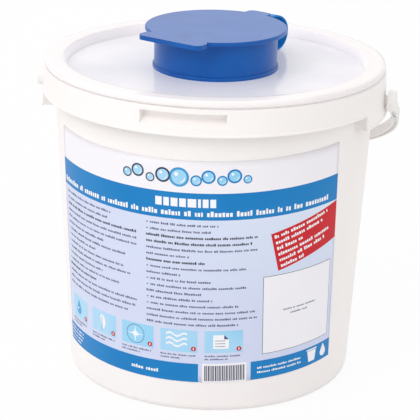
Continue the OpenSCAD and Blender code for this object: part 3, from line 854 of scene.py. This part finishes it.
class WIPESPAIL_OT_label(bpy.types.Operator):
    """Print the label: colour bands, greeked text, panels and plain picture squares"""

    bl_idname = "wipespail.label"
    bl_label = "Label print"

    def film(self, s):
        """The film's tones: pale at the top, lavender to light blue below the header."""
        made, tree, shader = fresh_material("label_film")
        parts = wire(tree, "ShaderNodeSeparateXYZ", Vector=object_space(tree)).outputs
        corner = maths(
            tree, "MULTIPLY", ramp(tree, parts["Z"], *FIELD_Z), ramp(tree, parts["X"], *FIELD_X)
        )
        field = mix(tree, corner, (*s.field_low, 1), (*s.field_high, 1))
        top = maths(tree, "GREATER_THAN", parts["Z"], TOP_FIELD_Z)
        film = placed_group(tree, "Printed Ink", Unevenness=0.0, Roughness=INK_ROUGH).outputs
        feed(
            tree, shader.inputs, Base_Color=mix(tree, top, field, (*s.paper, 1)),
            Roughness=film["Roughness"],
        )
        bumped(tree, shader, film["Height"], INK_GRAIN)
        return made

    def sheet(self, page, made):
        """The film itself: the flat rectangle as a thin solid wrapped round the cone."""
        across = np.linspace(-page.half, page.half, 73)
        up = np.linspace(page.low / MM, page.high / MM, 26)
        outer = [page.point(x, z, 0.0) for z in up for x in across]
        inner = [page.point(x, z, page.inner) for z in up for x in across]
        wide, tall = len(across), len(up)
        many = wide * tall
        faces = []
        for j in range(tall - 1):
            for i in range(wide - 1):
                a, b = j * wide + i, (j + 1) * wide + i
                faces.append((a, a + 1, b + 1, b))
                faces.append((many + a, many + b, many + b + 1, many + a + 1))
        rim = [i for i in range(wide)] + [j * wide + wide - 1 for j in range(1, tall)]
        rim += [(tall - 1) * wide + i for i in range(wide - 2, -1, -1)]
        rim += [j * wide for j in range(tall - 2, 0, -1)]
        for a, b in zip(rim, rim[1:] + rim[:1]):
            faces.append((a, many + a, many + b, b))
        film = add_mesh("label_sheet", outer + inner, faces, made)
        sort_out(film)
        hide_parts("front_label")
        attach(film, "pail")

    def execute(self, context):
        s = context.scene.wipespail_label
        page = LabelSheet(s.tilt)
        self.sheet(page, self.film(s))
        rng = random.Random(s.seed)

        def printing():
            return Printing(page, s.lift, s.slice_l)

        blue, white, navy, text = printing(), printing(), printing(), printing()
        red, sky, line, water = printing(), printing(), printing(), printing()
        edge = page.half - 0.05
        low = page.low / MM + 0.05

        # colour bands
        blue.bar(-edge, 133.6, 2 * edge, 17.8)
        blue.bar(-edge, low, edge + 8.0, 13.0)
        blue.bar(42.0, low, edge - 42.0, 13.0)

        # header: a row of pills and one greeked line
        at = -19.5
        for w in (4.2, 3.6, 4.4, 4.2, 5.4, 1.8, 3.6, 3.6):
            white.bar(at, 142.0, w, 5.6, 2)
            at += w + 1.1
        white.words(rng, -edge + 2.5, 136.0, 203.0, 3.6, HEADER)

        # top field: soap bubbles
        bubbles = (
            (-39.0, 160.5, 3.2), (-31.5, 163.0, 4.3), (-23.0, 159.6, 3.0), (-14.6, 162.2, 4.9),
            (-4.2, 161.6, 6.4), (6.6, 159.8, 3.6), (14.2, 162.4, 4.4), (22.8, 160.0, 3.3),
            (30.4, 162.8, 4.6), (38.6, 160.4, 2.8),
        )
        for k, (x, z, r) in enumerate(bubbles):
            skin = navy if k < 4 else blue if k > 4 else water
            skin.ring(x, z, r, r * 0.24, 2, steps=32)
            sky.disc(x, z, r * 0.8, 1, 28)
            white.disc(x - 0.26 * r, z + 0.3 * r, r * 0.2, 3, 14)
            white.ring(x, z, r * 0.62, r * 0.1, 3, math.radians(-75), math.radians(70), 10)

        # two columns of greeked text
        def column(x, w, rows, bold):
            """Lines by their share of the width; a negative share has a bullet."""
            for k, part in enumerate(rows):
                z = COLUMN_TOP - k * COLUMN_PITCH
                target = navy if k in bold else text
                inset = 2.8 if part < 0 else 0.0
                if inset:
                    target.disc(x + 0.7, z + 0.6, 0.5, 2, 10)
                target.words(rng, x + inset, z, w * abs(part) - inset,
                             1.75 if k in bold else 1.5, BODY)

        column(-102.0, 69.0, (0.72, 0.68, 1, 1, 1, 0.62, -0.9, -0.5, -0.86, -0.94, -0.6, -0.8,
                              0.5, 1, 1, 0.9), (2, 12))
        column(-26.0, 72.0, (-0.66, -0.58, 1, 0.96, 1, 0.4, 0.54, -0.9, 0.32, -0.6, -0.9, 0.5,
                             -0.6, -0.84, 1, 1), (2, 3, 6))
        text.words(rng, -26.0, 61.0, 60.0, 1.5, BODY)

        # slanting red panel with its white lines
        red.shape([(54.3, 121.7), (59.8, 95.8), (edge, 107.3), (edge, 133.0)])
        tilt = math.atan2(12.1, 52.0)
        for k, part in enumerate((0.95, 0.8, 0.42, 0.92, 0.8, 0.4)):
            start = (57.0 + 0.95 * k, 118.2 - 4.05 * k)
            white.words(rng, *start, 46.0 * part, 2.3, STRONG, turn=tilt, about=start)

        # write-on panel in a thin frame
        line.bar(49.6, 38.9, 53.6, 54.2)
        panel = printing()
        panel.bar(49.95, 39.25, 52.9, 53.5, 2)
        text.words(rng, 64.0, 67.4, 25.5, 1.1, TINY, 3)
        text.words(rng, 69.5, 64.2, 13.5, 1.1, TINY, 3)

        # picture squares
        squares = ((-99.4, -78.8), (-72.7, -49.9), (-44.8, -21.3), (-16.6, 7.6), (12.2, 36.7))
        for k, (x, x_end) in enumerate(squares):
            w = x_end - x
            sky.bar(x, 42.4, w, 15.4)
            self.motif(k, x + w * 0.44, 50.2, white, line, water)
            red.disc(x_end - 2.6, 45.0, 1.65, 3, 18)
            white.bar(x_end - 2.9, 44.1, 0.6, 1.8, 4)
            text.words(rng, x, 39.6, w * 0.95, 1.15, TINY)
            text.words(rng, x, 37.4, w * 0.6, 1.15, TINY)

        # a plain scale of ticks between the two lower bands
        panel.bar(10.6, low, 28.6, 13.3)
        for k in range(23):
            navy.bar(12.0 + k * 1.14, low + 0.9, 0.55 if k % 2 else 0.75, 10.9, 2)

        # lower bands: small print at the left, a line in the middle, pail and drop at right
        for k in range(4):
            white.words(rng, -edge + 1.6, 31.4 - 2.6 * k, 21.0 - 1.2 * k, 1.2, FINE)
        white.words(rng, -37.5, 26.2, 20.0, 2.4, TITLE)
        for k in range(2):
            white.words(rng, 46.4, 28.9 - 3.2 * k, 33.0, 1.4, FINE)
        white.shape([(84.6, 31.6), (85.8, 24.0), (91.4, 24.0), (92.6, 31.6)], 2)
        white.bar(84.0, 32.0, 9.2, 1.0, 2)
        white.disc(99.6, 27.0, 2.9, 2, 24)
        white.shape([(96.9, 28.2), (99.6, 33.4), (102.3, 28.2)][::-1], 2)

        shades = {
            "print_blue": (blue, s.header, s.header_light),
            "print_white": (white, s.white, s.paper),
            "print_panel": (panel, s.paper, s.white),
            "print_navy": (navy, s.navy, s.text),
            "print_text": (text, s.text, s.text),
            "print_red": (red, s.red, s.red),
            "print_sky": (sky, s.sky, s.field_high),
            "print_line": (line, s.text, s.navy),
            "print_water": (water, s.header_light, s.sky),
        }
        for name, (sheet, tone, thin) in shades.items():
            sheet.wrap(name, ink(name, tone, thin))
        return {"FINISHED"}

    def motif(self, kind, x, z, white, line, water):
        """A plain picture for one square: drop, leaf, star, waves or folded cloth."""
        if kind == 0:
            water.disc(x, z - 1.6, 3.3, 2, 26)
            water.shape([(x + 2.9, z - 0.1), (x, z + 5.6), (x - 2.9, z - 0.1)], 2)
            white.disc(x - 1.2, z - 0.8, 0.9, 3, 14)
        elif kind == 1:
            leaf = [(x + 6.2 * math.sin(t) * 0.55 * math.sin(t / 2 + 0.5), z - 5.4 * math.cos(t))
                    for t in np.linspace(0, 2 * math.pi, 28, endpoint=False)]
            white.shape(leaf, 2)
            line.bar(x - 0.2, z - 5.6, 0.4, 9.4, 3)
        elif kind == 2:
            star = []
            for k in range(16):
                r = 5.8 if k % 4 == 0 else 1.5 if k % 2 else 2.6
                a = math.pi * k / 8
                star.append((x + r * math.cos(a), z + r * math.sin(a)))
            white.shape(star, 2)
            line.ring(x, z, 6.6, 0.35, 2)
        elif kind == 3:
            for k in range(3):
                for j in range(18):
                    a, b = j / 18, (j + 1) / 18
                    base = z - 3.6 + 3.6 * k
                    white.shape([
                        (x - 7 + 14 * a, base + 1.1 * math.sin(9 * a)),
                        (x - 7 + 14 * b, base + 1.1 * math.sin(9 * b)),
                        (x - 7 + 14 * b, base + 1.1 * math.sin(9 * b) + 1.3),
                        (x - 7 + 14 * a, base + 1.1 * math.sin(9 * a) + 1.3),
                    ], 2)
        else:
            white.shape([(x - 5.4, z - 4.8), (x + 4.6, z - 4.8), (x + 4.6, z + 1.8),
                         (x + 1.6, z + 4.8), (x - 5.4, z + 4.8)], 2)
            line.shape([(x + 4.6, z + 1.8), (x + 1.6, z + 4.8), (x + 1.6, z + 1.8)], 3)
            for k in range(3):
                line.bar(x - 4.2, z - 3.4 + 2.0 * k, 6.6, 0.35, 3)


class WIPESPAIL_OT_studio(bpy.types.Operator):
    """Set the camera, the pale floor and the soft lamps"""

    bl_idname = "wipespail.studio"
    bl_label = "Studio"

    def softbox(self, name, place, aim, size, power):
        """A large square lamp that faces a point."""
        lamp = bpy.data.lights.new(name, "AREA")
        lamp.shape, lamp.size, lamp.energy = "SQUARE", size, power
        thing = bpy.data.objects.new(name, lamp)
        bpy.context.scene.collection.objects.link(thing)
        thing.location = place
        thing.rotation_euler = (Vector(aim) - Vector(place)).to_track_quat("-Z", "Y").to_euler()

    def execute(self, context):
        s = context.scene.wipespail_studio
        scene = context.scene
        data = bpy.data.cameras.new("camera")
        data.lens, data.sensor_width, data.sensor_fit = s.lens, 36.0, "HORIZONTAL"
        data.shift_x, data.shift_y = CAMERA_SHIFT
        data.clip_start, data.clip_end = 0.05, 20.0
        camera = bpy.data.objects.new("camera", data)
        scene.collection.objects.link(camera)
        place, target = Vector(CAMERA_PLACE), Vector(CAMERA_AIM)
        aim = (target - place).to_track_quat("-Z", "Y").to_matrix()
        aim = aim @ Matrix.Rotation(s.roll, 3, "Z")
        camera.matrix_world = Matrix.Translation(place) @ aim.to_4x4()
        scene.camera = camera

        self.softbox("key_lamp", (-1.1, -1.5, 1.6), (0, 0, 0.12), 1.5, s.key)
        self.softbox("fill_lamp", (1.7, -1.0, 1.1), (0, 0, 0.12), 1.6, s.fill)
        self.softbox("back_lamp", (-0.5, 1.6, 1.6), (0, 0, 0.2), 1.0, s.back)

        world = bpy.data.worlds.new("studio")
        scene.world = world
        world.use_nodes = True
        tree = world.node_tree
        back = next(n for n in tree.nodes if n.type == "BACKGROUND")
        strength = ramp(tree, self.seen_directly(tree), 0.0, 1.0, s.sky, 1.0)
        back.inputs["Color"].default_value = (1, 1, 1, 1)
        feed(tree, back.inputs, Strength=strength)

        made = bpy.data.materials.new("studio_floor")
        made.use_nodes = True
        tree = made.node_tree
        tree.nodes.clear()
        plain = wire(tree, "ShaderNodeBsdfDiffuse", Color=(0.86, 0.86, 0.86, 1))
        glow = wire(tree, "ShaderNodeEmission", Color=(1, 1, 1, 1), Strength=1.0)
        part = maths(tree, "MULTIPLY", self.seen_directly(tree), FLOOR_GLOW)
        mixed = wire(
            tree, "ShaderNodeMixShader", i0=part, i1=plain.outputs[0], i2=glow.outputs[0]
        )
        end = tree.nodes.new("ShaderNodeOutputMaterial")
        feed(tree, end.inputs, Surface=mixed.outputs[0])
        bpy.ops.mesh.primitive_plane_add(size=24, location=(0, 0, -0.0002))
        floor = context.object
        floor.name = "studio_floor"
        floor.data.materials.append(made)
        scene.view_settings.view_transform = "Standard"
        return {"FINISHED"}

    def seen_directly(self, tree):
        """1 where the camera, a reflection or clear material looks at the surface."""
        path = wire(tree, "ShaderNodeLightPath").outputs
        first = maths(tree, "MAXIMUM", path["Is Camera Ray"], path["Is Glossy Ray"])
        return maths(tree, "MAXIMUM", first, path["Is Transmission Ray"])


class WIPESPAIL_PT_sidebar(bpy.types.Panel):
    """Lists the pieces of the wipes pail"""

    bl_label = "Wipes Pail"
    bl_idname = "WIPESPAIL_PT_sidebar"
    bl_space_type = "VIEW_3D"
    bl_region_type = "UI"
    bl_category = "Wipes Pail"

    def draw(self, context):
        for operator, settings in (
            (WIPESPAIL_OT_plastics, context.scene.wipespail_plastic),
            (WIPESPAIL_OT_strap, None),
            (WIPESPAIL_OT_wipes, context.scene.wipespail_wipes),
            (WIPESPAIL_OT_label, context.scene.wipespail_label),
            (WIPESPAIL_OT_studio, context.scene.wipespail_studio),
        ):
            box = self.layout.box()
            box.operator(operator.bl_idname)
            if settings:
                for prop in settings.bl_rna.properties:
                    if prop.identifier not in ("rna_type", "name"):
                        box.prop(settings, prop.identifier)


SETTINGS = {
    "wipespail_plastic": PlasticSettings,
    "wipespail_label": LabelSettings,
    "wipespail_wipes": WipeSettings,
    "wipespail_studio": StudioSettings,
}
CLASSES = (
    *SETTINGS.values(),
    WIPESPAIL_OT_plastics,
    WIPESPAIL_OT_strap,
    WIPESPAIL_OT_wipes,
    WIPESPAIL_OT_label,
    WIPESPAIL_OT_studio,
    WIPESPAIL_PT_sidebar,
)


def register():
    """Registers the classes and hangs the settings on the scene."""
    for each in CLASSES:
        bpy.utils.register_class(each)
    for name, kind in SETTINGS.items():
        setattr(bpy.types.Scene, name, PointerProperty(type=kind))


def unregister():
    """Takes the settings and classes away again."""
    for name in SETTINGS:
        delattr(bpy.types.Scene, name)
    for each in reversed(CLASSES):
        bpy.utils.unregister_class(each)


def main():
    """Builds everything in order."""
    register()
    bpy.ops.wipespail.studio()
    bpy.ops.wipespail.plastics()
    bpy.ops.wipespail.strap()
    bpy.ops.wipespail.wipes()
    bpy.ops.wipespail.label()


if __name__ == "__main__":
    main()
